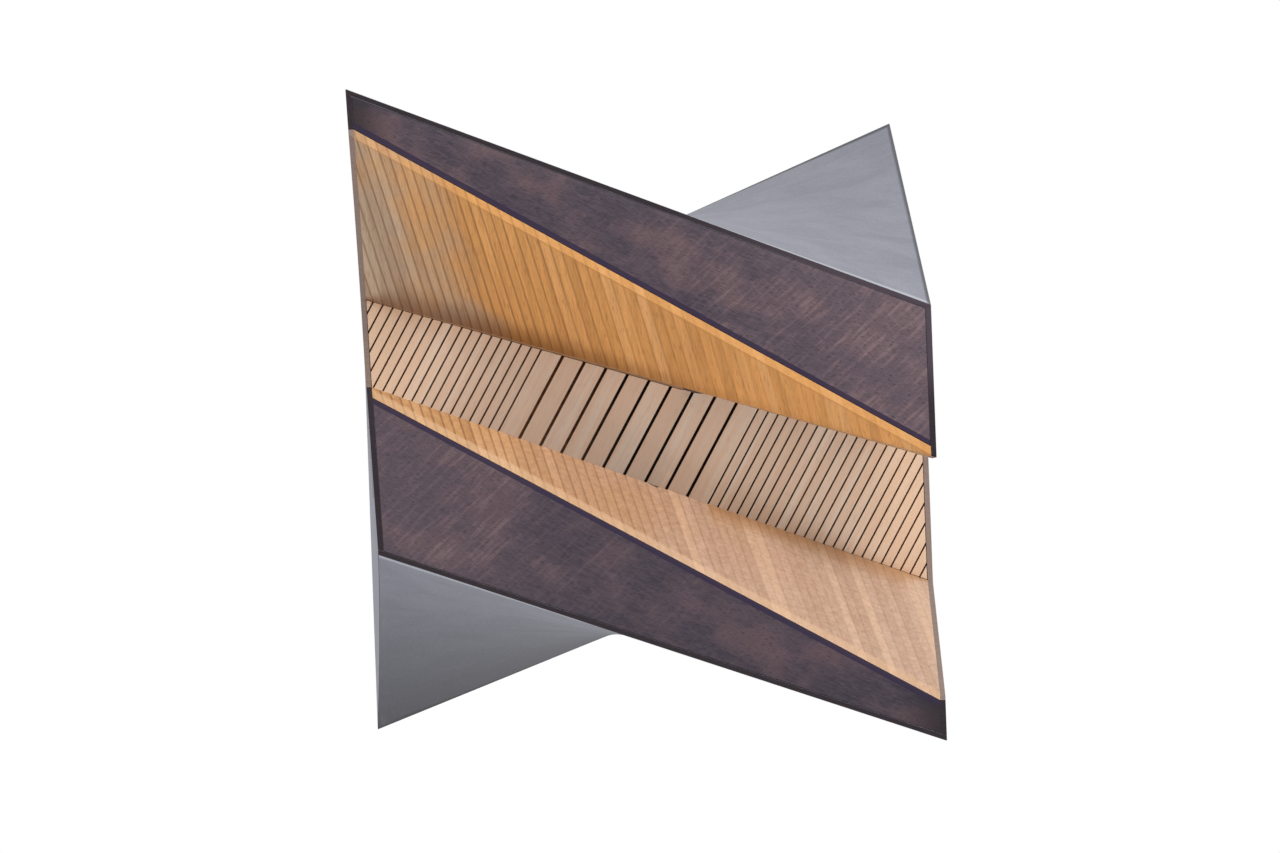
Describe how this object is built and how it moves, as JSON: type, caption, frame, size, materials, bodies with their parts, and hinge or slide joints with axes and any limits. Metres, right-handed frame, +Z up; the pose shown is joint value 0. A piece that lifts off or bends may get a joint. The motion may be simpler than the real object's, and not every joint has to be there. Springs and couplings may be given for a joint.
{
  "type": "bicycle wall rack",
  "caption": "Twisted wooden wall box with a slanting slot across its front, in which a bicycle hangs by its top tube, lifted off a hidden wall plate.",
  "frame": {"origin": "on the wall, in the middle of the wall plate's four screw holes, which is also the middle of the box's back", "axes": "+X to the right seen from the front, +Y into the wall, +Z up; the front faces -Y"},
  "size_m": [0.215, 0.27, 0.2505],
  "materials": {
    "grey_laminate": "satin grey laminate on thin board, edges dark",
    "dark_veneer": "purple-brown stained veneer, satin lacquer",
    "oak_facing": "oiled oak veneer, warm orange-brown",
    "laminated_core": "laminated wood, sanded, unfinished inside",
    "seat_leather": "dark brown leather, matt",
    "pale_strip": "pale pinkish wood strips, sanded and oiled",
    "dark_board": "board stained near-black",
    "carcass_board": "bare birch plywood",
    "zinc_steel": "zinc plated folded sheet",
    "screw_steel": "yellow zinc plated",
    "beech": "plain beech dowel rod"
  },
  "bodies": {
    "wall_mount": {"wall_plate": "zinc_steel"},
    "rack": {"top_skin": "grey_laminate", "bottom_skin": "grey_laminate", "left_skin": "grey_laminate", "right_skin": "grey_laminate", "upper_front_band": "dark_veneer", "lower_front_band": "dark_veneer", "upper_facing": "oak_facing", "lower_facing": "oak_facing", "upper_jaw_core": "laminated_core", "lower_jaw_core": "laminated_core", "upper_seat_liner": "seat_leather", "lower_seat_liner": "seat_leather", "slot_wall_strips": "pale_strip", "slot_wall_board": "dark_board", "left_board": "carcass_board", "right_board": "carcass_board", "top_board": "carcass_board", "bottom_board": "carcass_board", "back_panel": "carcass_board", "hanger_bracket": "zinc_steel", "upper_jaw_screws": "screw_steel", "lower_jaw_screws": "screw_steel", "carcass_screws": "screw_steel", "back_panel_screws": "screw_steel", "hanger_screws": "screw_steel", "upper_jaw_dowels": "beech", "lower_jaw_dowels": "beech"}
  },
  "joints": [
    {"name": "lift_off", "type": "slide", "parent": "wall_mount", "child": "rack", "axis": [0, 0, 1], "range_m": [0, 0.013]}
  ]
}
